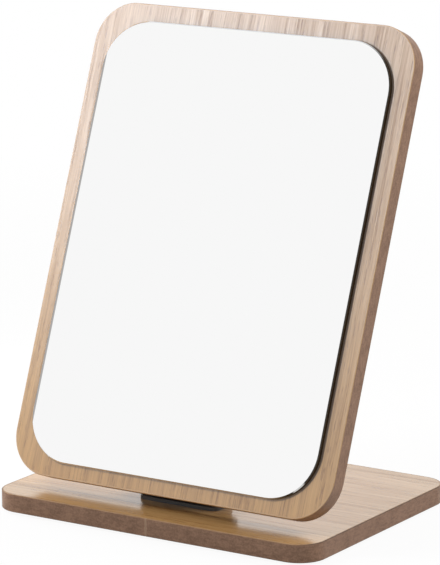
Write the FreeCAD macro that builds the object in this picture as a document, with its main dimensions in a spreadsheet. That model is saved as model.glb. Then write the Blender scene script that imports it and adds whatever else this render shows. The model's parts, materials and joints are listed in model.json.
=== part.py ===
"""Tabletop mirror: a glass bonded to a leaning board, hinged on a flat base board (millimetres).

+X is the right-hand side, +Y the back and +Z up. The origin lies on the floor, under the middle of
the base board. The base pieces are drawn from that board's middle. Everything that tilts, and every
piece of the hinge, is drawn from the hinge pivot: upright, with the board's face towards -Y, and the
lean is given by the piece's Placement.
"""
import FreeCAD, Part
import math
import os
import re
import Sketcher

SIZES = [
    ("base_width", 200, "base board, left to right"),
    ("base_depth", 145, "base board, front to back"),
    ("base_corner", 15, "corner radius of the base board"),
    ("panel_width", 200, "leaning board, left to right"),
    ("panel_height", 260, "leaning board, along its slope"),
    ("panel_corner", 23, "corner radius of the leaning board"),
    ("core_thickness", 9, "fibreboard core of both boards"),
    ("foil_thickness", 0.4, "wood-grain foil on each face of both boards"),
    ("band_thickness", 0.8, "brown band round the edge of both boards"),
    ("band_arris", 0.3, "chamfer along the band's outer edges"),
    ("band_seam", 0.15, "gap where the band's two ends meet"),
    ("glass_width", 180, "mirror glass, left to right"),
    ("glass_height", 242, "mirror glass, along the slope"),
    ("glass_corner", 27, "corner radius of the glass"),
    ("glass_thickness", 3, "float glass with its silvering"),
    ("glass_arris", 0.6, "ground chamfer round the glass"),
    ("glass_margin", 8, "board left bare below the glass"),
    ("tape_thickness", 0.3, "double-sided tape behind the glass"),
    ("tape_width", 20, "one strip of tape"),
    ("tape_length", 200, "one strip of tape, along the slope"),
    ("tape_pitch", 62, "from one strip of tape to the next"),
    ("foot_diameter", 12, "rubber foot"),
    ("foot_thickness", 1.5, "rubber foot"),
    ("foot_inset", 20, "from the base board's edges to a foot's middle"),
    ("lean_angle", 21.5, "lean of the mirror from upright, in degrees"),
    ("pivot_from_front", 38.5, "from the base board's front edge back to the pivot"),
    ("pivot_height", 8.5, "pivot above the base board's top"),
    ("pivot_setback", 10.6, "pivot behind the leaning board's back"),
    ("pivot_rise", 8.9, "pivot above the leaning board's lower edge"),
    ("leaf_width", 49.2, "both hinge leaves, left to right"),
    ("hinge_width", 48, "row of three knuckles with the washers between them"),
    ("leaf_thickness", 2.2, "both hinge leaves"),
    ("leaf_corner", 3.5, "corner radius of both leaves"),
    ("leaf_arris", 0.4, "chamfer along the leaves' and knuckles' edges"),
    ("base_leaf_front", 9.2, "base leaf, from the pivot forwards"),
    ("base_leaf_back", 28, "base leaf, from the pivot backwards"),
    ("mirror_leaf_below", 4.9, "mirror leaf, from the pivot down"),
    ("mirror_leaf_above", 36, "mirror leaf, from the pivot up"),
    ("knuckle_radius", 5.8, "outside of the three knuckles"),
    ("middle_knuckle_width", 22, "knuckle of the mirror leaf"),
    ("pedestal_front", 6.4, "foot of a base knuckle, from the pivot forwards"),
    ("pedestal_back", 9, "foot of a base knuckle, from the pivot backwards"),
    ("neck_rise", 17, "top of the mirror knuckle's neck on its leaf, above the pivot"),
    ("neck_toe", 0.7, "neck's lower end, in from the leaf's lower edge"),
    ("bolt_diameter", 5, "hinge bolt"),
    ("bolt_clearance", 0.05, "room between the bolt and each bore, on the radius"),
    ("bolt_head_diameter", 9.6, "low round head of the bolt"),
    ("bolt_head_height", 3.2, "low round head of the bolt"),
    ("bolt_head_arris", 1, "chamfer round the bolt's head"),
    ("bolt_socket_flats", 3, "hexagon socket in the bolt's head"),
    ("bolt_socket_depth", 1.8, "hexagon socket in the bolt's head"),
    ("bolt_end_showing", 0.9, "bolt standing out of the nut"),
    ("friction_washer_thickness", 0.6, "washer between two knuckles"),
    ("friction_washer_diameter", 10.8, "washer between two knuckles"),
    ("thrust_washer_thickness", 1, "flat washer under the disc spring"),
    ("thrust_washer_diameter", 10, "flat washer under the disc spring"),
    ("spring_thickness", 0.7, "disc spring"),
    ("spring_rise", 0.35, "height of the disc spring's cone"),
    ("spring_diameter", 9.6, "disc spring"),
    ("nut_flats", 8, "lock nut, across the flats"),
    ("nut_height", 3.2, "hexagon of the lock nut"),
    ("nut_collar_height", 0.9, "round collar of the lock nut"),
    ("screw_head_diameter", 5.6, "pan-head wood screw"),
    ("screw_head_height", 1.8, "pan-head wood screw"),
    ("screw_shank_diameter", 2.8, "pan-head wood screw"),
    ("screw_length", 8.6, "wood screw, from under its head to its tip"),
    ("screw_clearance", 0.2, "room round a screw in a leaf, on the radius"),
    ("screw_side_margin", 11, "from a leaf's side to a screw's middle"),
    ("screw_end_margin", 5, "from a leaf's far end to the outer pair of screws"),
    ("screw_pitch", 10, "from one pair of screws to the next"),
]

# Sizes that follow from the sheet, as formulas in the same words.
DERIVED = {
    "board": "(core_thickness + 2 * foil_thickness)",
    "pivot_y": "(pivot_from_front - base_depth / 2)",
    "pivot_z": "(foot_thickness + board + pivot_height)",
    "panel_middle": "(panel_height / 2 - pivot_rise)",
    "glass_middle": "(glass_margin + glass_height / 2 - pivot_rise)",
    "panel_face": "(pivot_setback + board)",
    "knuckle_gap": "(middle_knuckle_width + 2 * friction_washer_thickness)",
    "side_knuckle_width": "((hinge_width - knuckle_gap) / 2)",
    "bore_radius": "(bolt_diameter / 2 + bolt_clearance)",
    "spring_start": "(hinge_width / 2 + thrust_washer_thickness)",
    "spring_height": "(spring_thickness + spring_rise)",
    "nut_start": "(spring_start + spring_height)",
    "nut_end": "(nut_start + nut_height + nut_collar_height)",
    "screw_across": "(leaf_width / 2 - screw_side_margin)",
    "base_screw_row": "(base_leaf_back - screw_end_margin)",
    "mirror_screw_row": "(mirror_leaf_above - screw_end_margin)",
}

WORD = re.compile(r"[a-z][a-z0-9_]*")

doc = FreeCAD.newDocument("tabletop_mirror")
sheet = doc.addObject("Spreadsheet::Sheet", "dims")
for row, (alias, size, meaning) in enumerate(SIZES, start=1):
    sheet.set(f"A{row}", alias)
    sheet.set(f"B{row}", str(size))
    sheet.set(f"C{row}", meaning)
    sheet.setAlias(f"B{row}", alias)
doc.recompute()

ALIASES = {alias for alias, size, meaning in SIZES}
nodes = []


# ---------------------------------------------------------------- formulas, bodies and sketches

def formula(words):
    """Write out a formula's own words as references to the sheet."""
    def expand(match):
        word = match.group(0)
        if word in DERIVED:
            return formula(DERIVED[word])
        return "dims." + word if word in ALIASES else word
    return WORD.sub(expand, words)


def size_of(words):
    """Present value of a formula."""
    return float(sheet.evalExpression(formula(words)))


def bind(thing, prop, words):
    thing.setExpression(prop, formula(words))


def new_body(name):
    body = doc.addObject("PartDesign::Body", name)
    body.Label = name
    body.AllowCompound = True
    nodes.append(body)
    return body


def place_on_base(body, height):
    """Stand a piece at a height above the floor, in the middle of the base board."""
    bind(body, "Placement.Base.z", height)


def place_at_pivot(body):
    """Put a piece of the base's side of the hinge at the pivot."""
    bind(body, "Placement.Base.y", "pivot_y")
    bind(body, "Placement.Base.z", "pivot_z")


def place_leaning(body):
    """Put a piece that tilts at the pivot, leaning back by the lean angle."""
    place_at_pivot(body)
    body.Placement.Rotation = FreeCAD.Rotation(FreeCAD.Vector(-1, 0, 0), 1)
    bind(body, "Placement.Rotation.Angle", "lean_angle")


def origin_feature(body, role):
    return next(f for f in body.Origin.OriginFeatures if f.Role == role)


def new_sketch(body, name, plane, across="0", up="0", lift="0"):
    """Sketch on one of the body's own planes, shifted within it and along its normal."""
    sketch = body.newObject("Sketcher::SketchObject", name)
    sketch.AttachmentSupport = [(origin_feature(body, plane), "")]
    sketch.MapMode = "FlatFace"
    for axis, shift in (("x", across), ("y", up), ("z", lift)):
        if shift != "0":
            bind(sketch, "AttachmentOffset.Base." + axis, shift)
    return sketch


def fix_point(sketch, piece, end, across, up):
    """Hold one point of the sketch at its distances from the sketch's origin."""
    for kind, axis_line, words in (("DistanceX", -2, across), ("DistanceY", -1, up)):
        if words == "0":
            sketch.addConstraint(Sketcher.Constraint("PointOnObject", piece, end, axis_line))
        else:
            number = sketch.addConstraint(Sketcher.Constraint(kind, -1, 1, piece, end, size_of(words)))
            bind(sketch, f"Constraints[{number}]", words)


def add_circle(sketch, across, up, radius):
    middle = FreeCAD.Vector(size_of(across), size_of(up), 0)
    circle = sketch.addGeometry(Part.Circle(middle, FreeCAD.Vector(0, 0, 1), size_of(radius)))
    number = sketch.addConstraint(Sketcher.Constraint("Radius", circle, size_of(radius)))
    bind(sketch, f"Constraints[{number}]", radius)
    fix_point(sketch, circle, 3, across, up)


def add_polygon(sketch, corners):
    """Closed outline through corners that are each a pair of formulas."""
    points = [FreeCAD.Vector(size_of(across), size_of(up), 0) for across, up in corners]
    ends = points[1:] + points[:1]
    lines = [sketch.addGeometry(Part.LineSegment(a, b)) for a, b in zip(points, ends)]
    for line, following in zip(lines, lines[1:] + lines[:1]):
        sketch.addConstraint(Sketcher.Constraint("Coincident", line, 2, following, 1))
    for line, (across, up) in zip(lines, corners):
        fix_point(sketch, line, 1, across, up)


def add_rounded_rectangle(sketch, width, height, corner):
    """Rectangle with four equal round corners, centred on the sketch's origin."""
    half_w, half_h, r = size_of(width) / 2, size_of(height) / 2, size_of(corner)
    middles = [(half_w - r, -half_h + r), (half_w - r, half_h - r),
               (-half_w + r, half_h - r), (-half_w + r, -half_h + r)]
    arcs = []
    for quarter, (x, y) in enumerate(middles):
        start = math.radians(90 * (quarter - 1))
        circle = Part.Circle(FreeCAD.Vector(x, y, 0), FreeCAD.Vector(0, 0, 1), r)
        arcs.append(sketch.addGeometry(Part.ArcOfCircle(circle, start, start + math.pi / 2)))
    sides = []
    for arc, following in zip(arcs, arcs[1:] + arcs[:1]):
        ends = sketch.getPoint(arc, 2), sketch.getPoint(following, 1)
        side = sketch.addGeometry(Part.LineSegment(*ends))
        sketch.addConstraint(Sketcher.Constraint("Tangent", arc, 2, side, 1))
        sketch.addConstraint(Sketcher.Constraint("Tangent", side, 2, following, 1))
        sides.append(side)
    right, top, left, bottom = sides
    for side, direction in ((right, "Vertical"), (left, "Vertical"), (top, "Horizontal"), (bottom, "Horizontal")):
        sketch.addConstraint(Sketcher.Constraint(direction, side))
    for arc in arcs[1:]:
        sketch.addConstraint(Sketcher.Constraint("Equal", arcs[0], arc))
    sketch.addConstraint(Sketcher.Constraint("Symmetric", arcs[0], 3, arcs[2], 3, -1, 1))
    for constraint, words in (
        (Sketcher.Constraint("DistanceX", left, 1, right, 1, 2 * half_w), width),
        (Sketcher.Constraint("DistanceY", bottom, 1, top, 1, 2 * half_h), height),
        (Sketcher.Constraint("Radius", arcs[0], r), corner),
    ):
        bind(sketch, f"Constraints[{sketch.addConstraint(constraint)}]", words)


def add_knuckle_outline(sketch, radius, start_corner, end_corner):
    """Round knuckle about the sketch's origin, closed by two straight flanks tangent to it.

    Going anticlockwise, the first flank runs from start_corner up to the arc, and the second from
    the arc down to end_corner.
    """
    r = size_of(radius)
    corners = [FreeCAD.Vector(size_of(a), size_of(u), 0) for a, u in (start_corner, end_corner)]
    spread = [math.acos(r / corner.Length) for corner in corners]
    angles = [math.atan2(corner.y, corner.x) for corner in corners]
    start = angles[0] + spread[0]
    end = angles[1] - spread[1]
    while end < start:
        end += 2 * math.pi
    circle = Part.Circle(FreeCAD.Vector(), FreeCAD.Vector(0, 0, 1), r)
    arc = sketch.addGeometry(Part.ArcOfCircle(circle, start, end))
    first = sketch.addGeometry(Part.LineSegment(corners[0], sketch.getPoint(arc, 1)))
    last = sketch.addGeometry(Part.LineSegment(sketch.getPoint(arc, 2), corners[1]))
    foot = sketch.addGeometry(Part.LineSegment(corners[1], corners[0]))
    sketch.addConstraint([
        Sketcher.Constraint("Coincident", arc, 3, -1, 1),
        Sketcher.Constraint("Tangent", first, 2, arc, 1),
        Sketcher.Constraint("Tangent", arc, 2, last, 1),
        Sketcher.Constraint("Coincident", last, 2, foot, 1),
        Sketcher.Constraint("Coincident", foot, 2, first, 1),
    ])
    number = sketch.addConstraint(Sketcher.Constraint("Radius", arc, r))
    bind(sketch, f"Constraints[{number}]", radius)
    fix_point(sketch, first, 1, *start_corner)
    fix_point(sketch, last, 2, *end_corner)


# ---------------------------------------------------------------- features

def add_pad(body, sketch, length, symmetric=False):
    pad = body.newObject("PartDesign::Pad", sketch.Name + "_pad")
    pad.Profile = sketch
    pad.SideType = "Symmetric" if symmetric else "One side"
    bind(pad, "Length", length)
    return pad


def add_pocket(body, sketch, length):
    """Cut the sketch through the body, as far on one side of the sketch as on the other."""
    pocket = body.newObject("PartDesign::Pocket", sketch.Name + "_pocket")
    pocket.Profile = sketch
    pocket.SideType = "Symmetric"
    bind(pocket, "Length", length)
    return pocket


def add_revolution(body, sketch, axis, kind="Revolution"):
    turned = body.newObject("PartDesign::" + kind, sketch.Name + "_turned")
    turned.Profile = sketch
    turned.ReferenceAxis = (sketch, [axis])
    turned.Angle = 360
    return turned


def edge_names(shape, wanted):
    """Names of the edges that a test picks out."""
    return [f"Edge{n}" for n, edge in enumerate(shape.Edges, start=1) if wanted(edge)]


def outer_rim(shape, normal):
    """Test for the outer edges of the flat faces that look along a direction or straight against it."""
    rims = []
    for face in shape.Faces:
        if face.Surface.TypeId == "Part::GeomPlane" and abs(abs(face.normalAt(0, 0).dot(normal)) - 1) < 1e-6:
            rims += face.OuterWire.Edges
    return lambda edge: any(edge.isSame(rim) for rim in rims)


def round_edges(body, kind, size, wanted):
    """Fillet or chamfer the edges of the body's present solid that a test picks out."""
    doc.recompute()
    base = body.Tip
    dress = body.newObject("PartDesign::" + kind, f"{body.Name}_{kind.lower()}")
    dress.Base = (base, edge_names(base.Shape, wanted))
    bind(dress, "Radius" if kind == "Fillet" else "Size", size)
    return dress


SCREW = [("-screw_head_height", "0"), ("-screw_head_height", "screw_head_diameter / 2"),
         ("0", "screw_head_diameter / 2"), ("0", "screw_shank_diameter / 2"),
         ("screw_length", "screw_shank_diameter / 2"), ("screw_length", "0")]
SCREW_HOLE = [("0", "0"), ("0", "screw_shank_diameter / 2 + screw_clearance"),
              ("leaf_thickness", "screw_shank_diameter / 2 + screw_clearance"), ("leaf_thickness", "0")]


def add_screw_set(body, side, kind, section):
    """Turn one wood screw, or its hole in a leaf, and repeat it in two pairs.

    The section's corners are (depth below the head's seat, radius). The base leaf's screws point down
    and the mirror leaf's point forwards.
    """
    on_base = side == "base"
    seat = "leaf_thickness - pivot_height" if on_base else "leaf_thickness - pivot_setback"
    row = "base_screw_row" if on_base else "mirror_screw_row"
    name = body.Name + ("_one" if kind == "Revolution" else "_screw_hole")
    sketch = new_sketch(body, name, "YZ_Plane", across=row if on_base else seat,
                        up=seat if on_base else row, lift="-screw_across")
    corners = [(f"-({depth})" if depth != "0" else "0", radius) for depth, radius in section]
    add_polygon(sketch, [(radius, down) for down, radius in corners] if on_base else corners)
    one = add_revolution(body, sketch, "V_Axis" if on_base else "H_Axis", kind)
    pairs = body.newObject("PartDesign::LinearPattern", name + "_pairs")
    pairs.Originals = [one]
    pairs.Direction = (origin_feature(body, "X_Axis"), [""])
    bind(pairs, "Length", "2 * screw_across")
    pairs.Occurrences = 2
    pairs.Direction2 = (origin_feature(body, "Y_Axis" if on_base else "Z_Axis"), [""])
    pairs.Reversed2 = True
    bind(pairs, "Length2", "screw_pitch")
    pairs.Occurrences2 = 2
    body.Tip = pairs


# ---------------------------------------------------------------- the two boards

def board_layer(name, plane, width, height, corner, thickness, up="0", lift="0"):
    """One layer of a board, inside the edge band."""
    body = new_body(name)
    sketch = new_sketch(body, name + "_outline", plane, up=up, lift=lift)
    inside = " - 2 * band_thickness"
    add_rounded_rectangle(sketch, width + inside, height + inside, corner + " - band_thickness")
    add_pad(body, sketch, thickness)
    return body


def edge_band(name, plane, width, height, corner, up="0", lift="0"):
    """Band glued round a board's edge; its two ends meet in the middle of the front or lower edge."""
    body = new_body(name)
    outline = new_sketch(body, name + "_outline", plane, up=up, lift=lift)
    inside = " - 2 * band_thickness"
    add_rounded_rectangle(outline, width, height, corner)
    add_rounded_rectangle(outline, width + inside, height + inside, corner + " - band_thickness")
    add_pad(body, outline, "board")
    doc.recompute()
    normal = FreeCAD.Vector(0, 0, 1) if plane == "XY_Plane" else FreeCAD.Vector(0, 1, 0)
    round_edges(body, "Chamfer", "band_arris", outer_rim(body.Tip.Shape, normal))
    seam = new_sketch(body, name + "_seam", plane, up=up, lift=lift)
    low, high = f"-{height} / 2 - band_thickness", f"-{height} / 2 + 2 * band_thickness"
    add_polygon(seam, [("-band_seam / 2", low), ("band_seam / 2", low),
                       ("band_seam / 2", high), ("-band_seam / 2", high)])
    add_pocket(body, seam, "4 * board")
    return body


def make_base_board():
    outline = ("XY_Plane", "base_width", "base_depth", "base_corner")
    bottom = board_layer("base_bottom_foil", *outline, "foil_thickness")
    place_on_base(bottom, "foot_thickness")

    core = board_layer("base_core", *outline, "core_thickness")
    place_on_base(core, "foot_thickness + foil_thickness")

    top = board_layer("base_top_foil", *outline, "foil_thickness")
    place_on_base(top, "foot_thickness + foil_thickness + core_thickness")

    band = edge_band("base_edge_band", *outline)
    place_on_base(band, "foot_thickness")


def make_feet():
    for row, up in (("front", -1), ("back", 1)):
        for side, across in (("left", -1), ("right", 1)):
            foot = new_body(f"foot_{row}_{side}")
            sole = new_sketch(foot, foot.Name + "_sole", "XY_Plane")
            add_circle(sole, f"{across} * (base_width / 2 - foot_inset)",
                       f"{up} * (base_depth / 2 - foot_inset)", "foot_diameter / 2")
            add_pad(foot, sole, "foot_thickness")


def make_mirror_board():
    outline = ("XZ_Plane", "panel_width", "panel_height", "panel_corner")
    back = board_layer("panel_back_foil", *outline, "foil_thickness", up="panel_middle", lift="pivot_setback")
    behind_core = "pivot_setback + foil_thickness"
    core = board_layer("panel_core", *outline, "core_thickness", up="panel_middle", lift=behind_core)

    front = board_layer("panel_front_foil", *outline, "foil_thickness",
                        up="panel_middle", lift=behind_core + " + core_thickness")
    band = edge_band("panel_edge_band", *outline, up="panel_middle", lift="pivot_setback")
    for body in (back, core, front, band):
        place_leaning(body)


def make_glass():
    tape = new_body("glass_tape")
    strips = new_sketch(tape, "glass_tape_strips", "XZ_Plane", up="glass_middle", lift="panel_face")
    for strip in (-1, 0, 1):
        left, right = (f"{strip} * tape_pitch {sign} tape_width / 2" for sign in "-+")
        add_polygon(strips, [(left, "-tape_length / 2"), (right, "-tape_length / 2"),
                             (right, "tape_length / 2"), (left, "tape_length / 2")])
    add_pad(tape, strips, "tape_thickness")

    glass = new_body("mirror_glass")
    outline = new_sketch(glass, "mirror_glass_outline", "XZ_Plane", up="glass_middle",
                         lift="panel_face + tape_thickness")
    add_rounded_rectangle(outline, "glass_width", "glass_height", "glass_corner")
    add_pad(glass, outline, "glass_thickness")
    doc.recompute()
    round_edges(glass, "Chamfer", "glass_arris", outer_rim(glass.Tip.Shape, FreeCAD.Vector(0, 1, 0)))
    for body in (tape, glass):
        place_leaning(body)


# ---------------------------------------------------------------- the hinge

def make_base_leaf():
    """Moulded leaf on the base board, with a knuckle on a flared foot at each side."""
    leaf = new_body("hinge_base_leaf")
    plate = new_sketch(leaf, "base_leaf_outline", "XY_Plane",
                       up="(base_leaf_back - base_leaf_front) / 2", lift="-pivot_height")
    add_rounded_rectangle(plate, "leaf_width", "base_leaf_front + base_leaf_back", "leaf_corner")
    add_pad(leaf, plate, "leaf_thickness")
    leaf_top = size_of("leaf_thickness - pivot_height")
    round_edges(leaf, "Chamfer", "leaf_arris", lambda edge: edge.BoundBox.ZMin > leaf_top - 1e-6)
    add_screw_set(leaf, "base", "Groove", SCREW_HOLE)

    knuckle = new_sketch(leaf, "base_leaf_knuckle", "YZ_Plane", lift="knuckle_gap / 2")
    foot = "leaf_thickness / 2 - pivot_height"
    add_knuckle_outline(knuckle, "knuckle_radius", ("pedestal_back", foot), ("-pedestal_front", foot))
    one_side = add_pad(leaf, knuckle, "side_knuckle_width")
    both = leaf.newObject("PartDesign::Mirrored", "base_leaf_knuckles")
    both.Originals = [one_side]
    both.MirrorPlane = (origin_feature(leaf, "YZ_Plane"), [""])
    leaf.Tip = both
    round_edges(leaf, "Chamfer", "leaf_arris",
                lambda edge: edge.BoundBox.ZMax > leaf_top + 0.01 and edge.BoundBox.XLength < 1e-6)

    bore = new_sketch(leaf, "base_leaf_bore", "YZ_Plane")
    add_circle(bore, "0", "0", "bore_radius")
    add_pocket(leaf, bore, "2 * hinge_width")
    place_at_pivot(leaf)


def make_mirror_leaf():
    """Moulded leaf on the back of the leaning board, with the middle knuckle on a tapering neck."""
    leaf = new_body("hinge_mirror_leaf")
    plate = new_sketch(leaf, "mirror_leaf_outline", "XZ_Plane",
                       up="(mirror_leaf_above - mirror_leaf_below) / 2", lift="pivot_setback - leaf_thickness")
    add_rounded_rectangle(plate, "leaf_width", "mirror_leaf_above + mirror_leaf_below", "leaf_corner")
    add_pad(leaf, plate, "leaf_thickness")

    back = size_of("leaf_thickness - pivot_setback")
    round_edges(leaf, "Chamfer", "leaf_arris", lambda edge: edge.BoundBox.YMin > back - 1e-6)
    add_screw_set(leaf, "mirror", "Groove", SCREW_HOLE)

    neck = new_sketch(leaf, "mirror_leaf_neck", "YZ_Plane")
    root = "leaf_thickness / 2 - pivot_setback"
    add_knuckle_outline(neck, "knuckle_radius", (root, "neck_toe - mirror_leaf_below"), (root, "neck_rise"))
    add_pad(leaf, neck, "middle_knuckle_width", symmetric=True)
    round_edges(leaf, "Chamfer", "leaf_arris",
                lambda edge: edge.BoundBox.YMax > back + 0.01 and edge.BoundBox.XLength < 1e-6)

    bore = new_sketch(leaf, "mirror_leaf_bore", "YZ_Plane")
    add_circle(bore, "0", "0", "bore_radius")
    add_pocket(leaf, bore, "2 * middle_knuckle_width")
    place_leaning(leaf)


def turned_piece(name, profile, plane="XY_Plane", axis="H_Axis"):
    """Piece turned about the pivot axis, from (distance along it, radius) corners."""
    body = new_body(name)
    sketch = new_sketch(body, name + "_profile", plane)
    add_polygon(sketch, profile)
    add_revolution(body, sketch, axis)
    place_at_pivot(body)
    return body


def ring_profile(start, length, outer, inner="bore_radius"):
    """Section of a plain ring about the pivot axis."""
    end = f"{start} + {length}"
    return [(start, inner), (end, inner), (end, outer), (start, outer)]


def make_bolt():
    """Bolt with a low round head on the left; its chamfered end stands out of the nut on the right."""
    bolt_end, end_arris = "nut_end + bolt_end_showing", "bolt_diameter / 10"
    head, seat = "-hinge_width / 2 - bolt_head_height", "-hinge_width / 2"
    bolt = turned_piece("hinge_bolt", [
        (head, "0"), (bolt_end, "0"), (bolt_end, f"bolt_diameter / 2 - {end_arris}"),
        (f"{bolt_end} - {end_arris}", "bolt_diameter / 2"), (seat, "bolt_diameter / 2"),
        (seat, "bolt_head_diameter / 2"), (f"{head} + bolt_head_arris", "bolt_head_diameter / 2"),
        (head, "bolt_head_diameter / 2 - bolt_head_arris")])
    socket = new_sketch(bolt, "hinge_bolt_socket", "YZ_Plane", lift=head)
    add_hexagon(socket, "bolt_socket_flats")
    add_pocket(bolt, socket, "2 * bolt_socket_depth")


def add_hexagon(sketch, flats):
    """Regular hexagon about the sketch's origin, given across its flats."""
    corners = []
    for turn in range(6):
        angle = math.radians(30 + 60 * turn)
        across, up = math.cos(angle) / math.sqrt(3), math.sin(angle) / math.sqrt(3)
        corners.append((f"{flats} * {across:.9f}" if abs(across) > 1e-9 else "0", f"{flats} * {up:.9f}"))
    add_polygon(sketch, corners)


def make_friction_pack():
    """Washers, disc spring and lock nut that squeeze the knuckles, so the mirror stays where it is put."""
    friction = "friction_washer_diameter / 2"
    turned_piece("friction_washer_left", ring_profile("-knuckle_gap / 2", "friction_washer_thickness", friction))
    turned_piece("friction_washer_right",
                 ring_profile("middle_knuckle_width / 2", "friction_washer_thickness", friction))
    turned_piece("thrust_washer",
                 ring_profile("hinge_width / 2", "thrust_washer_thickness", "thrust_washer_diameter / 2"))

    turned_piece("disc_spring", [
        ("spring_start", "bore_radius"), ("spring_start + spring_thickness", "bore_radius"),
        ("spring_start + spring_height", "spring_diameter / 2"),
        ("spring_start + spring_rise", "spring_diameter / 2")])

    nut = new_body("lock_nut")
    hexagon = new_sketch(nut, "lock_nut_hexagon", "YZ_Plane", lift="nut_start")
    add_hexagon(hexagon, "nut_flats")
    add_circle(hexagon, "0", "0", "bore_radius")
    add_pad(nut, hexagon, "nut_height")
    collar = new_sketch(nut, "lock_nut_collar", "YZ_Plane", lift="nut_start + nut_height")
    add_circle(collar, "0", "0", "0.44 * nut_flats")
    add_circle(collar, "0", "0", "bore_radius")
    add_pad(nut, collar, "nut_collar_height")
    place_at_pivot(nut)


def make_screws():
    base = new_body("base_leaf_screws")
    add_screw_set(base, "base", "Revolution", SCREW)
    place_at_pivot(base)
    mirror = new_body("mirror_leaf_screws")
    add_screw_set(mirror, "mirror", "Revolution", SCREW)
    place_leaning(mirror)


# ---------------------------------------------------------------- build, check and write

make_base_board()
make_feet()
make_base_leaf()
make_bolt()
make_friction_pack()
make_mirror_board()
make_glass()
make_mirror_leaf()
make_screws()
doc.recompute()

for thing in doc.Objects:
    if {"Invalid", "Error"} & set(thing.State):
        raise RuntimeError(f"{thing.Name} did not build: {thing.State}")
for body in nodes:
    if body.Shape.isNull() or not body.Shape.isValid() or not body.Shape.Solids:
        raise RuntimeError(f"{body.Label} has no sound solid")

os.makedirs("parts", exist_ok=True)
for body in nodes:
    body.Shape.exportStep(f"parts/{body.Label}.step")
    box = body.Shape.BoundBox
    print(f"{body.Label:24s} {len(body.Shape.Solids)} solid(s), {body.Shape.Volume:10.1f} mm3, "
          f"x {box.XMin:7.2f} {box.XMax:7.2f}  y {box.YMin:7.2f} {box.YMax:7.2f}  z {box.ZMin:7.2f} {box.ZMax:7.2f}")
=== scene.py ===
import json
import math

import bmesh
import bpy
from mathutils import Matrix, Vector


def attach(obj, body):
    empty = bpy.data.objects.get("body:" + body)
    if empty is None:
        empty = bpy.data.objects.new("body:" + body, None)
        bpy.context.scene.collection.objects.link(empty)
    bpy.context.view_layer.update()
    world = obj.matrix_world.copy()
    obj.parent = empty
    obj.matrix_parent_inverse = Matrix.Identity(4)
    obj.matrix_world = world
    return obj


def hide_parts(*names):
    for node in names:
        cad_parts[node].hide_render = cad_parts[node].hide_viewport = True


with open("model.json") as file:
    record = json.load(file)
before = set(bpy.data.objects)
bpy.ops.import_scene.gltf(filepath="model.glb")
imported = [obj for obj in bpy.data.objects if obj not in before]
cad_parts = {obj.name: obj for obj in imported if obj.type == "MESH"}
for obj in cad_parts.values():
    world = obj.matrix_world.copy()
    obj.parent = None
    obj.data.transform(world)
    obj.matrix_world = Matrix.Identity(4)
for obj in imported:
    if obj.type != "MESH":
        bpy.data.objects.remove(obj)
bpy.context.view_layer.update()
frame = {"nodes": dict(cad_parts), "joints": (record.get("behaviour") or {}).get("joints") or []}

parts = frame["nodes"]
scene = bpy.context.scene


# ---------------------------------------------------------------------------
# Cores of both boards: 9 mm fibreboard, brown wood dust pressed with resin and cut to a rounded
# outline. They show only in the hairline where the two ends of an edge band meet.

FIBRE_DARK = (0.26, 0.165, 0.09, 1)
FIBRE_PALE = (0.50, 0.345, 0.21, 1)
NOISE_LOW = 0.3
NOISE_HIGH = 0.7
TWO_NOISES_LOW = 0.75
TWO_NOISES_HIGH = 1.25


def make_group(name, inputs, outputs):
    """New shader node group; returns it with the nodes that bring values in and take them out."""
    group = bpy.data.node_groups.new(name, "ShaderNodeTree")
    for way, sockets in (("INPUT", inputs), ("OUTPUT", outputs)):
        for socket, kind in sockets.items():
            group.interface.new_socket(socket, in_out=way, socket_type="NodeSocket" + kind)
    return group, group.nodes.new("NodeGroupInput"), group.nodes.new("NodeGroupOutput")


def put(tree, kind, settings=None, **sockets):
    """Add one node. Settings are its own choices. A socket goes by its name, or by its number as in
    _0, and takes a value or another node's output."""
    added = tree.nodes.new("ShaderNode" + kind)
    for name, value in (settings or {}).items():
        setattr(added, name, value)
    for name, value in sockets.items():
        key = int(name[1:]) if name[1:].isdigit() else name.replace("_", " ")
        if isinstance(value, bpy.types.NodeSocket):
            tree.links.new(value, added.inputs[key])
        else:
            added.inputs[key].default_value = value
    return added


def maths(tree, operation, first, second=0.0):
    """One sum on two numbers or outputs."""
    return put(tree, "Math", {"operation": operation}, _0=first, _1=second).outputs[0]


def ramp(tree, value, low, high, to_low=0.0, to_high=1.0):
    """Take a value from one range to another, clamped at both ends."""
    return put(tree, "MapRange", _0=value, _1=low, _2=high, _3=to_low, _4=to_high).outputs[0]


def blend(tree, factor, first, second):
    """Mix of two colours."""
    return put(tree, "Mix", {"data_type": "RGBA"}, _0=factor, _6=first, _7=second).outputs[2]


def noise(tree, place, scale, detail, roughness=0.5):
    """Soft noise over a surface, mostly between NOISE_LOW and NOISE_HIGH."""
    made = put(tree, "TexNoise", Vector=place, Scale=scale, Detail=detail, Roughness=roughness)
    return made.outputs[0]


def emptied(owner):
    """Node tree of a new material or world, with nothing in it yet."""
    owner.use_nodes = True
    owner.node_tree.nodes.clear()
    return owner.node_tree


def new_material(name):
    """Material with nothing but its shader and output; returns its tree and shader too."""
    material = bpy.data.materials.new(name)
    tree = emptied(material)
    shader = put(tree, "BsdfPrincipled")
    put(tree, "OutputMaterial", Surface=shader.outputs[0])
    return material, tree, shader


def uneven(tree, shader, height, strength, depth):
    """Give a shader's surface a fine relief, so many metres deep."""
    bump = put(tree, "Bump", Strength=strength, Distance=depth, Height=height)
    tree.links.new(bump.outputs[0], shader.inputs["Normal"])


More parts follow.
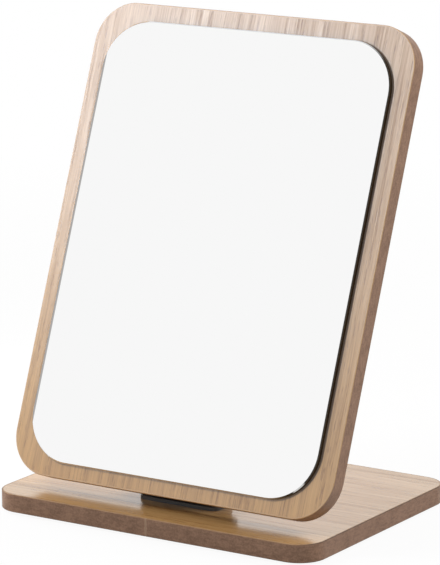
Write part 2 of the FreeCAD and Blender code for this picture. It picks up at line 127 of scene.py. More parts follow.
def grain_and_patches():
    """Fine grain over broad patches, the unevenness that any plain finish has."""
    group, given, result = make_group(
        "grain_and_patches", {"Place": "Vector", "Grain Scale": "Float", "Patch Scale": "Float"},
        {"Grain": "Float", "Patches": "Float"})
    for scale, out in (("Grain Scale", "Grain"), ("Patch Scale", "Patches")):
        marks = noise(group, given.outputs["Place"], given.outputs[scale], detail=3.0)
        group.links.new(marks, result.inputs[out])
    return group


GRAIN_AND_PATCHES = grain_and_patches()


def plain_finish(name, grain, patches, dark, pale, smooth, rough, relief, metallic=0.0, shine=0.5):
    """Finish of one colour, shaded and dulled in patches, with its grain standing up by relief. Grain
    and patches are counted per metre."""
    material, tree, shader = new_material(name)
    look = put(tree, "Group", {"node_tree": GRAIN_AND_PATCHES}, Grain_Scale=grain,
               Patch_Scale=patches, Place=put(tree, "TexCoord").outputs["Object"]).outputs
    both = maths(tree, "ADD", look["Grain"], look["Patches"])
    tone = ramp(tree, both, TWO_NOISES_LOW, TWO_NOISES_HIGH)
    tree.links.new(blend(tree, tone, dark, pale), shader.inputs["Base Color"])
    dulled = ramp(tree, look["Patches"], NOISE_LOW, NOISE_HIGH, smooth, rough)
    tree.links.new(dulled, shader.inputs["Roughness"])
    shader.inputs["Metallic"].default_value = metallic
    shader.inputs["Specular IOR Level"].default_value = shine
    uneven(tree, shader, look["Grain"], strength=0.4, depth=relief)
    return material


def dress(material, *names):
    """Give carried-over pieces their finish."""
    for name in names:
        for slot in parts[name].material_slots:
            slot.material = material


dress(plain_finish("fibreboard", grain=900.0, patches=160.0, dark=FIBRE_DARK, pale=FIBRE_PALE,
                   smooth=0.82, rough=0.88, relief=0.0002),
      "base_core", "panel_core")


# ---------------------------------------------------------------------------
# Foil on both faces of both boards: printed oak-grain paper, lightly embossed and lacquered, pressed
# on before the boards are cut. Its grain runs up the leaning board and along the base board, which
# has the glossier lacquer. A hairline of painted shadow darkens the front foil round the glass.

LEAN = math.radians(21.5)
GLASS_CORNER = 0.027
OAK_PALE = (0.61, 0.365, 0.150, 1)
OAK_DEEP = (0.36, 0.190, 0.062, 1)
OAK_PORE = (0.21, 0.094, 0.028, 1)
PORE_SHADE = 0.55
FIBRE_RISE = 0.5
PORE_DROP = 0.6
EMBOSSING = 0.00008
LACQUER_ROUGHNESS = 0.20
LACQUER_LEFT_ON_LINES = 0.6
# Painted shadow round the glass: its colour, where it is full and ends, and where it thins near the
# middle.
PAINTED_SHADOW = (0.055, 0.039, 0.028, 1)
PAINTED_SHADOW_FULL_TO = 0.0004
PAINTED_SHADOW_ENDS_AT = 0.0011
PAINTED_SHADOW_COVER = 0.9
PAINTED_SHADOW_THIN_WITHIN = 0.060
PAINTED_SHADOW_FULL_BEYOND = 0.085
PAINTED_SHADOW_LEFT_WHERE_THIN = 0.55

# Marks in the oak: width and length of each kind in metres, and how ragged it is.
OAK_MARKS = {"wander": (0.05, 0.20, 1.0),
             "ripple": (0.007, 0.018, 1.0),
             "bands": (0.0065, 0.30, 3.0),
             "fibres": (0.0008, 0.035, 2.0),
             "lines": (0.0020, 0.09, 2.0),
             "specks": (0.0005, 0.0075, 1.0)}
# How far the broad wander and the small ripple push the grain sideways, in metres.
OAK_DRIFT = {"wander": 0.005, "ripple": 0.0009}
# The noise at which a mark starts to show and is full, and how much of the deep colour it brings.
OAK_SHADES = {"bands": (0.38, 0.62, 0.25), "fibres": (0.34, 0.62, 0.42), "lines": (0.52, 0.60, 0.32)}
# A pore opens where a speck lies near a late-wood line: the noise at which each starts and is full.
OAK_PORES = {"specks": (0.56, 0.66), "lines": (0.42, 0.56)}


def streaks(tree, kind, across, along, seed):
    """Noise drawn out along the grain into marks of one kind."""
    width, length, ragged = OAK_MARKS[kind]
    place = put(tree, "CombineXYZ", X=maths(tree, "DIVIDE", across, width),
                Y=maths(tree, "DIVIDE", along, length), Z=seed)
    return noise(tree, place.outputs[0], scale=1.0, detail=ragged, roughness=0.6)


def oak_figure():
    """Straight-grained oak: growth bands, fine fibres, dark late-wood lines, short open pores."""
    group, given, result = make_group(
        "oak_figure", {"Across": "Float", "Along": "Float", "Seed": "Float"},
        {"Tone": "Float", "Pores": "Float", "Height": "Float"})
    straight, along, seed = (given.outputs[name] for name in ("Across", "Along", "Seed"))
    across = straight
    for kind, reach in OAK_DRIFT.items():
        aside = maths(group, "SUBTRACT", streaks(group, kind, straight, along, seed), 0.5)
        across = maths(group, "ADD", across, maths(group, "MULTIPLY", aside, reach))
    marks = {kind: streaks(group, kind, across, along, seed)
             for kind in ("bands", "fibres", "lines", "specks")}
    tone = 0.0
    for kind, (starts, full, share) in OAK_SHADES.items():
        tone = maths(group, "ADD", tone, ramp(group, marks[kind], starts, full, 0.0, share))
    pores = maths(group, "MULTIPLY", *(ramp(group, marks[kind], starts, full)
                                       for kind, (starts, full) in OAK_PORES.items()))
    raised = maths(group, "MULTIPLY", marks["fibres"], FIBRE_RISE)
    height = maths(group, "SUBTRACT", raised, maths(group, "MULTIPLY", pores, PORE_DROP))
    for name, value in (("Tone", tone), ("Pores", pores), ("Height", height)):
        group.links.new(value, result.inputs[name])
    return group


OAK_FIGURE = oak_figure()


def beyond_glass(tree, across, up):
    """How far a place on the leaning board lies outside the outline of the glass, in metres."""
    upright = [Matrix.Rotation(LEAN, 3, "X") @ vert.co for vert in parts["mirror_glass"].data.vertices]
    lowest = min(place.z for place in upright)
    highest = max(place.z for place in upright)
    half_across = max(place.x for place in upright) - GLASS_CORNER
    half_up = (highest - lowest) / 2 - GLASS_CORNER
    squares = []
    for place, middle, half in ((across, 0.0, half_across), (up, (lowest + highest) / 2, half_up)):
        from_middle = maths(tree, "ABSOLUTE", maths(tree, "SUBTRACT", place, middle))
        past_straight = maths(tree, "MAXIMUM", maths(tree, "SUBTRACT", from_middle, half), 0.0)
        squares.append(maths(tree, "POWER", past_straight, 2.0))
    return maths(tree, "SUBTRACT", maths(tree, "SQRT", maths(tree, "ADD", *squares)), GLASS_CORNER)


def painted_shadow_round_glass(tree, across, up):
    """How much painted shadow darkens a place on the leaning board round the glass; it is fuller at
    the sides.
    """
    hairline = ramp(tree, beyond_glass(tree, across, up), PAINTED_SHADOW_FULL_TO, PAINTED_SHADOW_ENDS_AT, PAINTED_SHADOW_COVER, 0.0)
    thinned = ramp(tree, maths(tree, "ABSOLUTE", across), PAINTED_SHADOW_THIN_WITHIN, PAINTED_SHADOW_FULL_BEYOND,
                   PAINTED_SHADOW_LEFT_WHERE_THIN, 1.0)
    return maths(tree, "MULTIPLY", hairline, thinned)


def oak_foil(name, across, along, lean, seed, roughness, spread, shine, lacquer, shadowed_round_glass=False):
    """Foil with its grain along one axis of a board that leans back by an angle."""
    material, tree, shader = new_material(name)
    place = put(tree, "TexCoord").outputs["Object"]
    upright = put(tree, "Mapping", {"vector_type": "POINT"}, Vector=place, Rotation=(lean, 0, 0))
    axes = put(tree, "SeparateXYZ", Vector=upright.outputs[0]).outputs
    figure = put(tree, "Group", {"node_tree": OAK_FIGURE},
                 Across=axes[across], Along=axes[along], Seed=seed).outputs
    colour = blend(tree, figure["Tone"], OAK_PALE, OAK_DEEP)
    colour = blend(tree, maths(tree, "MULTIPLY", figure["Pores"], PORE_SHADE), colour, OAK_PORE)
    rough = ramp(tree, figure["Tone"], 0.0, 1.0, roughness - spread, roughness + spread)
    # Painted shadow: a dark, dull hairline round the glass in place of its contact shadow.
    if shadowed_round_glass:
        painted_shadow = painted_shadow_round_glass(tree, axes["X"], axes["Z"])
        colour = blend(tree, painted_shadow, colour, PAINTED_SHADOW)
        rough = maths(tree, "MAXIMUM", rough, painted_shadow)
    tree.links.new(colour, shader.inputs["Base Color"])
    tree.links.new(rough, shader.inputs["Roughness"])
    uneven(tree, shader, figure["Height"], strength=0.3, depth=EMBOSSING)
    shader.inputs["Specular IOR Level"].default_value = shine
    if lacquer:
        coat = ramp(tree, figure["Tone"], 0.0, 1.0, lacquer, LACQUER_LEFT_ON_LINES * lacquer)
        tree.links.new(coat, shader.inputs["Coat Weight"])
        shader.inputs["Coat Roughness"].default_value = LACQUER_ROUGHNESS
    return material


ON_PANEL = {"across": "X", "along": "Z", "lean": LEAN,
            "roughness": 0.37, "spread": 0.09, "shine": 0.55, "lacquer": 0.0}
ON_BASE = {"across": "Y", "along": "X", "lean": 0.0,
           "roughness": 0.22, "spread": 0.07, "shine": 0.60, "lacquer": 1.0}
dress(oak_foil("oak_foil_base_top", seed=8.4, **ON_BASE), "base_top_foil")
dress(oak_foil("oak_foil_base_underside", seed=29.0, **ON_BASE), "base_bottom_foil")
dress(oak_foil("oak_foil_panel_front", seed=23.4, shadowed_round_glass=True, **ON_PANEL), "panel_front_foil")
dress(oak_foil("oak_foil_panel_back", seed=17.6, **ON_PANEL), "panel_back_foil")


# ---------------------------------------------------------------------------
# Edge band round both boards: brown plastic strip with a faint printed mottle, glued on hot. Its
# trimmed corner is painted paler on the face side as a highlight, and painted darker as shade on the
# other side and at the base's two ends. A pale hairline of glue fills the joint of its ends.

BAND_PALE = (0.285, 0.162, 0.100, 1)
BAND_DEEP = (0.150, 0.080, 0.047, 1)
# Painted highlight and painted shade on the trimmed corner, and how much shade the far side takes.
BAND_PAINTED_HIGHLIGHT = (0.54, 0.33, 0.15, 1)
BAND_PAINTED_SHADE = (0.075, 0.048, 0.036, 1)
BAND_BACK_PAINTED_SHADE = 0.8
BAND_GRIT = 0.0001
BAND_ROUGHNESS = (0.40, 0.50)
BAND_SHINE = 0.3
BAND_POLISH_ROUGHNESS = 0.35
BAND_GLUE = (0.46, 0.31, 0.21, 1)
GLUE_THICK_TO = 0.00025
GLUE_ENDS_AT = 0.0008
GLUE_COVER = 0.6
# How far a surface has to face one way to count, in part and in full, as a trimmed corner or an end.
CORNER_STARTS = 0.35
CORNER_FULL = 0.60
END_STARTS = 0.30
END_FULL = 0.55


def band_print():
    """Faint mottle and short streaks across the strip, as printed on melamine edging."""
    group, given, result = make_group(
        "band_print", {"Place": "Vector", "Squeeze": "Vector"}, {"Tone": "Float", "Grit": "Float"})
    place = given.outputs["Place"]
    drawn = put(group, "VectorMath", {"operation": "MULTIPLY"}, _0=place, _1=given.outputs["Squeeze"])
    clouds = noise(group, place, scale=120.0, detail=4.0, roughness=0.6)
    dashes = noise(group, drawn.outputs[0], scale=900.0, detail=2.0)
    flecks = noise(group, place, scale=1100.0, detail=1.0)
    tone = ramp(group, clouds, 0.36, 0.64, 0.0, 0.30)
    tone = maths(group, "ADD", tone, ramp(group, dashes, 0.40, 0.60, 0.0, 0.35))
    tone = maths(group, "ADD", tone, ramp(group, flecks, 0.38, 0.62, 0.0, 0.35))
    group.links.new(tone, result.inputs["Tone"])
    group.links.new(noise(group, place, scale=2600.0, detail=2.0), result.inputs["Grit"])
    return group


BAND_PRINT = band_print()


def edge_band(name, flat_axis, face_side, lean, joint_axis, joint_below, squeeze, corner_highlight,
              end_shade, polish):
    """Band of a board whose face looks to one side of flat_axis; it is joined low on joint_axis."""
    material, tree, shader = new_material(name)
    given = put(tree, "TexCoord").outputs
    place, normal = (
        put(tree, "Mapping", {"vector_type": kind}, Vector=given[source], Rotation=(lean, 0, 0))
        for kind, source in (("POINT", "Object"), ("NORMAL", "Normal")))
    figure = put(tree, "Group", {"node_tree": BAND_PRINT}, Place=place.outputs[0],
                 Squeeze=squeeze).outputs
    place = put(tree, "SeparateXYZ", Vector=place.outputs[0]).outputs
    facing = put(tree, "SeparateXYZ", Vector=normal.outputs[0]).outputs
    colour = blend(tree, figure["Tone"], BAND_PALE, BAND_DEEP)

    slope = maths(tree, "MULTIPLY", facing[flat_axis], face_side)
    face_corner = ramp(tree, slope, CORNER_STARTS, CORNER_FULL)
    back_corner = ramp(tree, slope, -CORNER_STARTS, -CORNER_FULL, 0.0, BAND_BACK_PAINTED_SHADE)
    # Painted highlight: the face-side corner is painted paler, and darker as painted shade at the
    # ends.
    colour = blend(tree, maths(tree, "MULTIPLY", face_corner, corner_highlight), colour, BAND_PAINTED_HIGHLIGHT)
    if end_shade:
        endways = maths(tree, "ABSOLUTE", facing["X"])
        at_end = ramp(tree, endways, END_STARTS, END_FULL, 0.0, end_shade)
        colour = blend(tree, maths(tree, "MULTIPLY", face_corner, at_end), colour, BAND_PAINTED_SHADE)
    # Painted shade: the corner on the far side is painted dark.
    colour = blend(tree, back_corner, colour, BAND_PAINTED_SHADE)
    if polish:
        tree.links.new(maths(tree, "MULTIPLY", face_corner, polish), shader.inputs["Coat Weight"])
        shader.inputs["Coat Roughness"].default_value = BAND_POLISH_ROUGHNESS

    from_middle = maths(tree, "ABSOLUTE", place["X"])
    near_joint = ramp(tree, from_middle, GLUE_THICK_TO, GLUE_ENDS_AT, GLUE_COVER, 0.0)
    low = maths(tree, "LESS_THAN", place[joint_axis], joint_below)
    colour = blend(tree, maths(tree, "MULTIPLY", near_joint, low), colour, BAND_GLUE)
    tree.links.new(colour, shader.inputs["Base Color"])
    rough = ramp(tree, figure["Tone"], 0.0, 1.0, *BAND_ROUGHNESS)
    tree.links.new(rough, shader.inputs["Roughness"])
    uneven(tree, shader, figure["Grit"], strength=0.2, depth=BAND_GRIT)
    shader.inputs["Specular IOR Level"].default_value = BAND_SHINE
    return material


dress(edge_band("base_band", flat_axis="Z", face_side=1.0, lean=0.0,
                joint_axis="Y", joint_below=0.0, squeeze=(0.3, 0.3, 1.0),
                corner_highlight=0.30, end_shade=0.85, polish=0.0), "base_edge_band")
dress(edge_band("panel_band", flat_axis="Y", face_side=-1.0, lean=LEAN,
                joint_axis="Z", joint_below=0.05, squeeze=(0.3, 1.0, 0.3),
                corner_highlight=0.95, end_shade=0.0, polish=0.6), "panel_edge_band")


# ---------------------------------------------------------------------------
# Feet: four black rubber discs, punched from sheet with a dusty, slightly grained skin, and stuck
# under the corners of the base board.

RUBBER_DARK = (0.018, 0.018, 0.018, 1)
RUBBER_DUSTY = (0.050, 0.048, 0.046, 1)
dress(plain_finish("foot_rubber", grain=1400.0, patches=260.0, dark=RUBBER_DARK, pale=RUBBER_DUSTY,
                   smooth=0.68, rough=0.80, relief=0.0001),
      "foot_front_left", "foot_front_right", "foot_back_left", "foot_back_right")


# ---------------------------------------------------------------------------
# Hinge leaves: two zinc castings with bored knuckles, in a satin black powder coat that keeps a fine
# orange peel.

COAT_BLACK = (0.018, 0.017, 0.017, 1)
COAT_GREY = (0.036, 0.034, 0.033, 1)
dress(plain_finish("black_powder_coat", grain=1500.0, patches=90.0, dark=COAT_BLACK, pale=COAT_GREY,
                   smooth=0.36, rough=0.48, relief=0.00012, shine=0.8),
      "hinge_base_leaf", "hinge_mirror_leaf")


# ---------------------------------------------------------------------------
# Friction washers: dark slide plastic, punched from sheet, one each side of the middle knuckle. The
# bolt presses them flat between the knuckles.

SLIDE_DARK = (0.05, 0.05, 0.05, 1)
SLIDE_SCUFFED = (0.11, 0.11, 0.11, 1)
dress(plain_finish("slide_plastic", grain=800.0, patches=300.0, dark=SLIDE_DARK, pale=SLIDE_SCUFFED,
                   smooth=0.45, rough=0.62, relief=0.00004),
      "friction_washer_left", "friction_washer_right")


# ---------------------------------------------------------------------------
# Hinge bolt, thrust washer, disc spring and lock nut: turned or stamped steel with a thin black
# oxide over fine tool marks. The nut draws the bolt tight, so that the knuckles rub.

OXIDE_BLACK = (0.030, 0.030, 0.034, 1)
OXIDE_RUBBED = (0.070, 0.067, 0.066, 1)
BLACKENED_STEEL = plain_finish("blackened_steel", grain=2200.0, patches=260.0, dark=OXIDE_BLACK,
                               pale=OXIDE_RUBBED, smooth=0.28, rough=0.44, relief=0.00004,
                               metallic=0.8)
dress(BLACKENED_STEEL, "hinge_bolt", "thrust_washer", "disc_spring", "lock_nut")


# ---------------------------------------------------------------------------
# Wood screws: four through each leaf into its board, blackened steel with a domed pan head and a
# cross recess punched into it. They are driven until the head seats on the leaf.

PIVOT = Vector(next(joint["pos_m"] for joint in frame["joints"] if joint["name"] == "mirror_tilt"))
BASE_TOP_BELOW_PIVOT = 0.0085
PANEL_BACK_BEFORE_PIVOT = 0.0106
LEAF_THICKNESS = 0.0022
SCREW_ACROSS = 0.0136
BASE_ROWS = (0.023, 0.013)
PANEL_ROWS = (0.031, 0.021)
HEAD_RADIUS = 0.0028
HEAD_HEIGHT = 0.0018
HEAD_RIM = 0.35 * HEAD_HEIGHT
SHANK_RADIUS = 0.0014
SHANK_LENGTH = 0.0086
RECESS_WIDE = 0.0016
RECESS_NARROW = 0.00034
RECESS_TAPER = 0.45
RECESS_FLOOR = 0.15 * HEAD_HEIGHT
CUTTER_TOP = 1.4 * HEAD_HEIGHT
SIDES_TO_A_ROUND = 40
DOME_STEP_DEGREES = 15
SHARP_ANGLE = math.radians(35)
# No two screws of a leaf stop with their recess at the same angle. These turns are in radians.
FIRST_SCREW_TURN = 0.7
TURN_TO_NEXT_SCREW = 1.1


def lathe(bm, profile):
    """Turn (radius, height) points about Z; points on the axis become one vertex."""
    angles = [2 * math.pi * side / SIDES_TO_A_ROUND for side in range(SIDES_TO_A_ROUND)]
    rings = []
    for radius, height in profile:
        if radius == 0:
            rings.append([bm.verts.new((0, 0, height))])
        else:
            rings.append([bm.verts.new((radius * math.cos(angle), radius * math.sin(angle), height))
                          for angle in angles])
    for low, high in zip(rings, rings[1:]):
        for side in range(SIDES_TO_A_ROUND):
            corners = [low[side % len(low)], low[(side + 1) % len(low)],
                       high[(side + 1) % len(high)], high[side % len(high)]]
            bm.faces.new(list(dict.fromkeys(corners)))


def loose_object(name, bm):
    """Object made from a mesh under construction, which is used up."""
    mesh = bpy.data.meshes.new(name)
    bm.to_mesh(mesh)
    bm.free()
    made = bpy.data.objects.new(name, mesh)
    scene.collection.objects.link(made)
    return made


def screw_blank():
    """One screw with its seat at the origin and its head up +Z, before the recess is punched."""
    angles = [math.radians(degrees) for degrees in range(0, 90, DOME_STEP_DEGREES)]
    dome = [(HEAD_RADIUS * math.cos(angle), HEAD_RIM + (HEAD_HEIGHT - HEAD_RIM) * math.sin(angle))
            for angle in angles]
    shank = [(0, -SHANK_LENGTH), (SHANK_RADIUS, -SHANK_LENGTH), (SHANK_RADIUS, 0)]
    bm = bmesh.new()
    lathe(bm, shank + [(HEAD_RADIUS, 0)] + dome + [(0, HEAD_HEIGHT)])
    bmesh.ops.recalc_face_normals(bm, faces=bm.faces)
    return loose_object("screw", bm)


def cross_punch():
    """Two crossed blades that taper towards the floor of the recess."""
    bm = bmesh.new()
    for across, along in ((RECESS_NARROW, RECESS_WIDE), (RECESS_WIDE, RECESS_NARROW)):
        for vert in bmesh.ops.create_cube(bm, size=2)["verts"]:
            above = vert.co.z > 0
            taper = 1.0 if above else RECESS_TAPER
            height = CUTTER_TOP if above else RECESS_FLOOR
            vert.co = (vert.co.x * across * taper, vert.co.y * along * taper, height)
    return loose_object("cross", bm)


def screw_mesh():
    """Mesh of one screw with its cross recess."""
    screw = screw_blank()
    punch = cross_punch()
    cut = screw.modifiers.new("recess", "BOOLEAN")
    cut.operation = "DIFFERENCE"
    cut.solver = "EXACT"
    cut.use_self = True
    cut.object = punch
    evaluated = screw.evaluated_get(bpy.context.evaluated_depsgraph_get())
    mesh = bpy.data.meshes.new_from_object(evaluated)
    for thing in (screw, punch):
        bpy.data.objects.remove(thing)
    return mesh


SCREW = screw_mesh()


def screws(name, body, replaced, seats, turn):
    """Join one screw at each seat into a single piece; turn brings +Z out of the leaf."""
    bm = bmesh.new()
    for number, seat in enumerate(seats):
        placed = SCREW.copy()
        driven = Matrix.Rotation(FIRST_SCREW_TURN + TURN_TO_NEXT_SCREW * number, 4, "Z")
        placed.transform(Matrix.Translation(seat) @ turn @ driven)
        bm.from_mesh(placed)
    piece = loose_object(name, bm)
    piece.data.materials.append(BLACKENED_STEEL)
    piece.data.shade_smooth()
    piece.data.set_sharp_from_angle(angle=SHARP_ANGLE)
    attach(piece, body)
    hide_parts(replaced)
    return piece


lean_back = Matrix.Rotation(-LEAN, 4, "X")
base_seats = [PIVOT + Vector((side * SCREW_ACROSS, row, LEAF_THICKNESS - BASE_TOP_BELOW_PIVOT))
              for side in (-1, 1) for row in BASE_ROWS]
panel_seat_depth = LEAF_THICKNESS - PANEL_BACK_BEFORE_PIVOT
panel_seats = [PIVOT + lean_back @ Vector((side * SCREW_ACROSS, panel_seat_depth, row))
               for side in (-1, 1) for row in PANEL_ROWS]
screw_sets = [
    screws("base_leaf_screw_set", "base", "base_leaf_screws", base_seats, Matrix.Identity(4)),
    screws("mirror_leaf_screw_set", "mirror_panel", "mirror_leaf_screws", panel_seats,
           lean_back @ Matrix.Rotation(-math.pi / 2, 4, "X"))]


# ---------------------------------------------------------------------------
# Foam tape behind the glass: pale closed-cell foam with glue on both faces, three strips that hold
# the glass to the board and leave the narrow dark gap that shows round it.

FOAM_SHADED = (0.62, 0.61, 0.58, 1)
FOAM_PALE = (0.78, 0.77, 0.74, 1)
FOAM_CELLS = 3200.0
FOAM_CELL_DEPTH = 0.0001
FOAM_ROUGHNESS = 0.9


def closed_cell_foam():
    """Matt foam with its cut cells standing open."""
    material, tree, shader = new_material("foam_tape")
    place = put(tree, "TexCoord").outputs["Object"]
    cells = put(tree, "TexVoronoi", Vector=place, Scale=FOAM_CELLS).outputs["Distance"]
    tree.links.new(blend(tree, cells, FOAM_SHADED, FOAM_PALE), shader.inputs["Base Color"])
    shader.inputs["Roughness"].default_value = FOAM_ROUGHNESS
    uneven(tree, shader, cells, strength=0.4, depth=FOAM_CELL_DEPTH)
    return material


dress(closed_cell_foam(), "glass_tape")


# ---------------------------------------------------------------------------
# Mirror glass: 3 mm float glass, silvered behind and cut to a rounded rectangle. Its edge is dark
# from the backing paint, and both arrises are ground off. A painted highlight brightens the arris at
# the lower right corner, and a painted grey line of shade runs down the left side of the silver.

SILVER = (0.930, 0.930, 0.930, 1)
# Painted shade: grey painted on the silver in a line down its left side, where it starts and is full.
SILVER_PAINTED_SHADE = (0.28, 0.26, 0.245, 1)
SILVER_SHADE_FROM = -0.0880
SILVER_SHADE_FULL_AT = -0.0884
SILVER_SHADE_COVER = 0.8
EDGE_DARK = (0.040, 0.033, 0.027, 1)
EDGE_PALE = (0.065, 0.055, 0.045, 1)
ARRIS_DARK = (0.05, 0.042, 0.035, 1)
ARRIS_BRIGHT = (0.80, 0.80, 0.79, 1)
ARRIS_ROUGHNESS = 0.12
BACKING_PAINT = (0.09, 0.085, 0.08, 1)
# How far a surface has to face one way to be the flat front or back, the ground arris, or the lower
# right corner of the arris that takes the painted highlight.
FLAT_FROM = 0.95
FLAT_FULL = 0.99
ARRIS_FROM = 0.50
ARRIS_FULL = 0.65
LOW_RIGHT_FROM = 0.986
LOW_RIGHT_FULL = 0.994
# Brightness of the painted highlight on the lower right arris, and the glance that brightens the
# arris.
LOW_RIGHT_PAINTED_HIGHLIGHT = 0.7
GLANCE_FROM = 0.20
GLANCE_FULL = 0.44


def silvered_glass():
    """Front, back, edge and arrises of the glass, told apart by the way that each one faces."""
    material, tree, shader = new_material("silvered_glass")
    given = put(tree, "TexCoord").outputs
    turned = put(tree, "Mapping", {"vector_type": "NORMAL"}, Vector=given["Normal"],
                 Rotation=(LEAN, 0, 0))
    facing = put(tree, "SeparateXYZ", Vector=turned.outputs[0]).outputs
    forward = maths(tree, "MULTIPLY", facing["Y"], -1.0)

    smears = noise(tree, given["Object"], scale=700.0, detail=3.0)
    edge = blend(tree, ramp(tree, smears, NOISE_LOW, NOISE_HIGH), EDGE_DARK, EDGE_PALE)
    turned_away = put(tree, "LayerWeight", Blend=0.5).outputs["Facing"]
    glance = ramp(tree, turned_away, GLANCE_FROM, GLANCE_FULL)
    # Painted highlight: a fixed bright streak on the arris round the lower right corner.
    low_right = maths(tree, "SUBTRACT", facing["X"], facing["Z"])
    painted_glint = ramp(tree, low_right, LOW_RIGHT_FROM, LOW_RIGHT_FULL, 0.0, LOW_RIGHT_PAINTED_HIGHLIGHT)
    arris = blend(tree, maths(tree, "MAXIMUM", glance, painted_glint), ARRIS_DARK, ARRIS_BRIGHT)
    colour = blend(tree, ramp(tree, forward, ARRIS_FROM, ARRIS_FULL), edge, arris)

    across = put(tree, "SeparateXYZ", Vector=given["Object"]).outputs["X"]
    # Painted shade: a grey line painted down the left side of the silver.
    left_painted_shade = ramp(tree, across, SILVER_SHADE_FULL_AT, SILVER_SHADE_FROM, SILVER_SHADE_COVER, 0.0)
    front = ramp(tree, forward, FLAT_FROM, FLAT_FULL)
    back = ramp(tree, facing["Y"], FLAT_FROM, FLAT_FULL)
    colour = blend(tree, front, colour, blend(tree, left_painted_shade, SILVER, SILVER_PAINTED_SHADE))
    colour = blend(tree, back, colour, BACKING_PAINT)
    tree.links.new(colour, shader.inputs["Base Color"])
    tree.links.new(ramp(tree, front, 0.0, 1.0, ARRIS_ROUGHNESS, 0.0), shader.inputs["Roughness"])
    shader.inputs["Metallic"].default_value = 1.0
    return material


dress(silvered_glass(), "mirror_glass")


# ---------------------------------------------------------------------------
# The set: a white sweep, clear from below, that keeps a soft shadow, in a white room. Three lamps
# light everything but the mirror and don't show in the lacquer. One more only glances off the front
# of the panel, and two only off the black metal.

WHITE = (1, 1, 1, 1)
PAPER = (0.85, 0.85, 0.85, 1)
SWEEP_REACH = 6.0
JUST_UNDER_THE_FEET = -0.0001
SHADOW_FULL_WITHIN = 0.3
SHADOW_ENDS_AT = 1.0
GLOW_IN_SHADOW = 0.93
ROOM_LIGHT = 0.34
KEY = (-0.55, -0.48, 0.85)
FILL = (0.8, 0.6, 0.9)
SIDE = (-0.42, -0.02, 0.13)
SHEEN = (-0.55, -0.55, 0.65)
COOL_WHITE = (0.67, 0.81, 1.0)
BOARDS = (0, 0, 0.10)
BASE_LEFT_END = (-0.08, -0.05, 0.01)
UPPER_PANEL = (-0.05, 0, 0.17)
HINGE = (0, 0, 0.02)


def seen_directly(tree):
    """1 for camera, glossy and transmission rays, 0 for the rays that light the object."""
    path = put(tree, "LightPath").outputs
    either = maths(tree, "MAXIMUM", path["Is Camera Ray"], path["Is Glossy Ray"])
    return maths(tree, "MAXIMUM", either, path["Is Transmission Ray"])


def white_sweep():
    """Paper that glows white where it is seen, a little less so near the object for its shadow."""
    material = bpy.data.materials.new("white_sweep")
    tree = emptied(material)
    paper = put(tree, "BsdfDiffuse", Color=PAPER)
    glow = put(tree, "Emission", Color=WHITE, Strength=1.0)
    place = put(tree, "TexCoord").outputs["Object"]
    outward = put(tree, "VectorMath", {"operation": "LENGTH"}, _0=place).outputs["Value"]
    whiter = ramp(tree, outward, SHADOW_FULL_WITHIN, SHADOW_ENDS_AT, GLOW_IN_SHADOW, 1.0)
    glow_share = maths(tree, "MULTIPLY", seen_directly(tree), whiter)
    above = put(tree, "MixShader", _0=glow_share, _1=paper.outputs[0], _2=glow.outputs[0])
    from_below = put(tree, "NewGeometry").outputs["Backfacing"]
    clear = put(tree, "BsdfTransparent")
    surface = put(tree, "MixShader", _0=from_below, _1=above.outputs[0], _2=clear.outputs[0])
    put(tree, "OutputMaterial", Surface=surface.outputs[0])
    return material


def white_room():
    """World that is white where it is seen, and lights the object gently from all round."""
    world = bpy.data.worlds.new("white_room")
    tree = emptied(world)
    strength = ramp(tree, seen_directly(tree), 0.0, 1.0, ROOM_LIGHT, 1.0)
    glow = put(tree, "Background", Color=WHITE, Strength=strength)
    put(tree, "OutputWorld", Surface=glow.outputs[0])
    return world


def linked(name, pieces, state):
    """Pieces that a lamp lights alone (INCLUDE) or passes by (EXCLUDE)."""
    group = bpy.data.collections.new(name)
    for piece in pieces:
        group.objects.link(piece)
    for entry in group.collection_objects:
        entry.light_linking.link_state = state
    return group


def softbox(name, place, aim, size, radiance, lit, glances=False, colour=(1, 1, 1)):
    """Square lamp that faces a point, and either lights some pieces or only glances off them."""
    lamp = bpy.data.lights.new(name, "AREA")
    lamp.shape = "SQUARE"
    lamp.size = size
    lamp.color = colour
    lamp.energy = radiance * math.pi * size * size
    holder = bpy.data.objects.new(name, lamp)
    holder.location = place
    holder.rotation_euler = (Vector(aim) - Vector(place)).to_track_quat("-Z", "Y").to_euler()
    holder.visible_glossy = glances
    holder.visible_diffuse = not glances
    holder.light_linking.receiver_collection = lit
    holder.light_linking.blocker_collection = NO_MIRROR
    scene.collection.objects.link(holder)


sheet = bmesh.new()
bmesh.ops.create_grid(sheet, x_segments=1, y_segments=1, size=SWEEP_REACH)
floor = loose_object("floor", sheet)
floor.location.z = JUST_UNDER_THE_FEET
floor.data.materials.append(white_sweep())
scene.world = white_room()

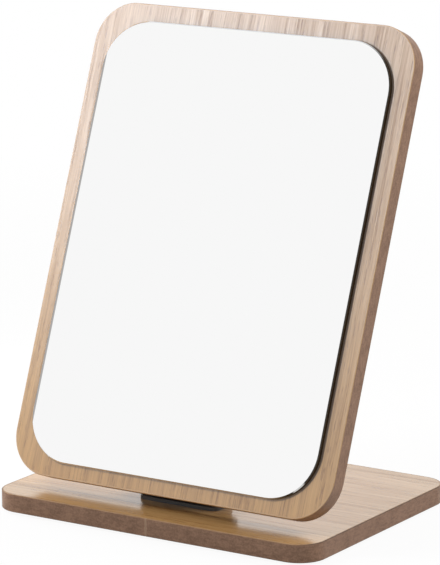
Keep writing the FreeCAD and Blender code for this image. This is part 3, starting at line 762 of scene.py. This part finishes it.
NO_MIRROR = linked("all_but_the_mirror", [parts["mirror_glass"]], "EXCLUDE")
PANEL_FRONT = linked("front_of_the_panel",
                     [parts["panel_front_foil"], parts["panel_edge_band"]], "INCLUDE")
BLACK_METAL = linked("black_metal", screw_sets + [parts[name] for name in (
    "hinge_base_leaf", "hinge_mirror_leaf", "hinge_bolt", "lock_nut", "disc_spring",
    "thrust_washer")], "INCLUDE")
softbox("key", KEY, aim=BOARDS, size=0.50, radiance=6.6, lit=NO_MIRROR)
softbox("fill", FILL, aim=BOARDS, size=0.60, radiance=10.1, lit=NO_MIRROR)
softbox("side", SIDE, aim=BASE_LEFT_END, size=0.22, radiance=8.6, lit=NO_MIRROR)
softbox("sheen", SHEEN, aim=UPPER_PANEL, size=0.46, radiance=15.0, lit=PANEL_FRONT, glances=True,
        colour=COOL_WHITE)
softbox("front_gleam", KEY, aim=HINGE, size=0.50, radiance=8.0, lit=BLACK_METAL, glances=True)
softbox("back_gleam", FILL, aim=HINGE, size=0.60, radiance=6.0, lit=BLACK_METAL, glances=True)
scene.view_settings.view_transform = "Standard"


# ---------------------------------------------------------------------------
# The camera: a long lens, to the right of the front and a little above, that looks at the middle of
# the panel with a slight roll.

FOCAL_LENGTH = 232.0
AZIMUTH = math.radians(33.27)
ELEVATION = math.radians(12.84)
ROLL = math.radians(-0.48)
TARGET = Vector((0.0, 0.0, 0.1315))
ASIDE = 0.00007
BELOW = -0.00851
DISTANCE = 1.92161

lens = bpy.data.cameras.new("camera")
lens.lens = FOCAL_LENGTH
lens.sensor_width = 36.0
lens.clip_start = 0.05
camera = bpy.data.objects.new("camera", lens)
looking = (Matrix.Rotation(AZIMUTH, 4, "Z") @ Matrix.Rotation(math.pi / 2 - ELEVATION, 4, "X")
           @ Matrix.Rotation(ROLL, 4, "Z"))
camera.matrix_world = (Matrix.Translation(TARGET) @ looking
                       @ Matrix.Translation((ASIDE, BELOW, DISTANCE)))
scene.collection.objects.link(camera)
scene.camera = camera
